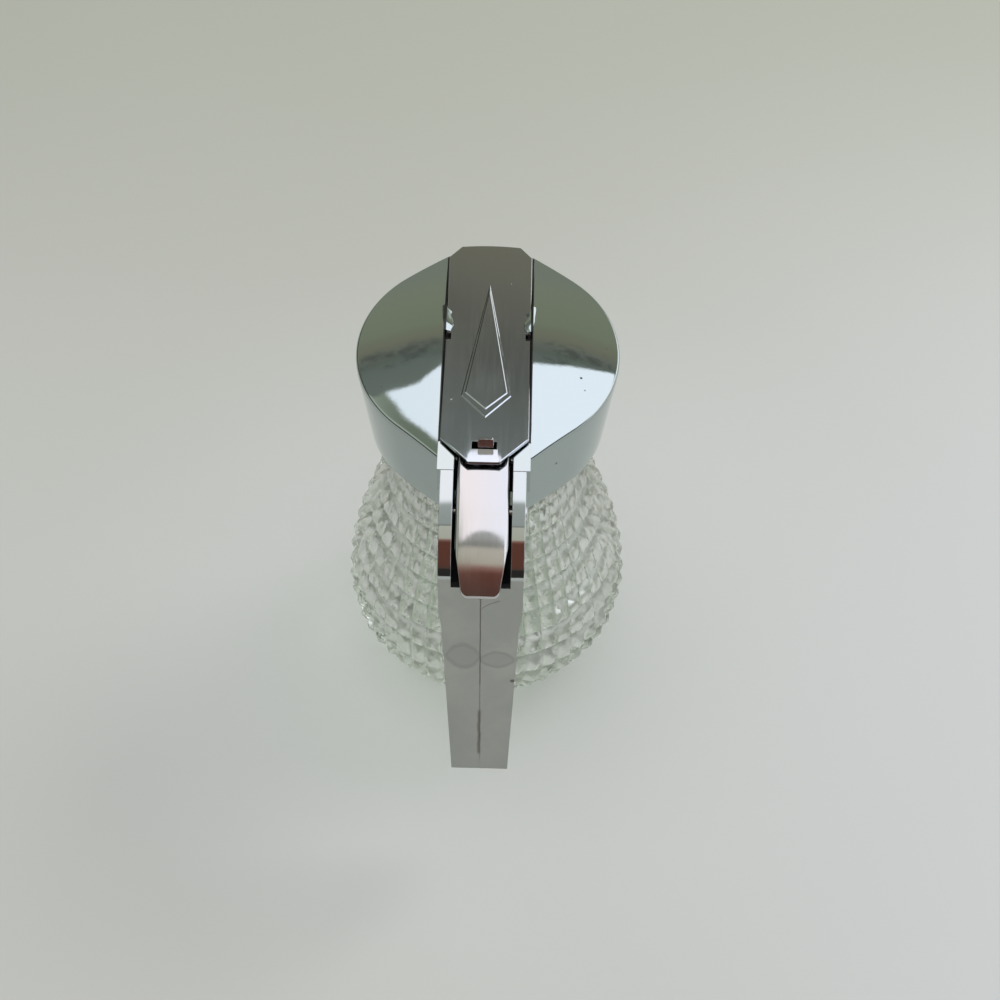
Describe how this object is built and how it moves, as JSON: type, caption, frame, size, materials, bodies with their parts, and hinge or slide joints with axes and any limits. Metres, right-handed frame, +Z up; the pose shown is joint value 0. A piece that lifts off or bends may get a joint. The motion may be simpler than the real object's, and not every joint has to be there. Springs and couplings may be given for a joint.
{
  "type": "syrup dispenser",
  "caption": "Glass syrup jug with a screw-on plated top, a sliding cut-off plate over its pouring mouth and a sprung thumb lever in a forked handle.",
  "frame": {"origin": "centre of the jar's foot on the surface it stands on", "axes": "+Z up along the jar's axis, +Y towards the pouring mouth, handle towards -Y"},
  "size_m": [0.0848, 0.1194, 0.1365],
  "materials": {
    "clear_glass": "clear pressed glass with sharp points",
    "seal": "translucent soft ring",
    "plated_casting": "bright plating over a smooth casting",
    "stamped_steel": "polished stamped sheet",
    "polished_steel": "polished bent sheet",
    "pin_steel": "turned and headed",
    "spring_wire": "drawn wire",
    "handle_plating": "plating with a satin rear face"
  },
  "bodies": {
    "jar": {"glass_jar": "clear_glass"},
    "seal": {"sealing_ring": "seal"},
    "top": {"lid_body": "plated_casting", "handle_left": "handle_plating", "handle_right": "handle_plating", "lever_pin": "pin_steel", "return_spring": "spring_wire"},
    "lever": {"thumb_lever": "polished_steel"},
    "plate": {"slide_plate": "stamped_steel"}
  },
  "joints": [
    {"name": "top_lift", "type": "slide", "parent": "jar", "child": "seal", "axis": [0, 0, 1], "range_m": [0, 0.0048]},
    {"name": "top_turn", "type": "hinge", "parent": "seal", "child": "top", "pos_m": [0, 0, 0.1198], "axis": [0, 0, 1], "range_deg": [0, 540]},
    {"name": "lever_press", "type": "hinge", "parent": "top", "child": "lever", "pos_m": [0, -0.0405, 0.1106], "axis": [1, 0, 0], "range_deg": [0, 12], "deforming": ["return_spring"]},
    {"name": "plate_slide", "type": "slide", "parent": "top", "child": "plate", "axis": [0, -1, 0], "range_m": [0, 0.00473], "stiffness_N_per_m": 570, "springref_m": -0.0034}
  ],
  "couplings": [
    {"joint": "top_lift", "follows": "top_turn", "m_per_rad": 0.000509},
    {"joint": "lever_press", "follows": "plate_slide", "rad_per_m": 44.248}
  ]
}
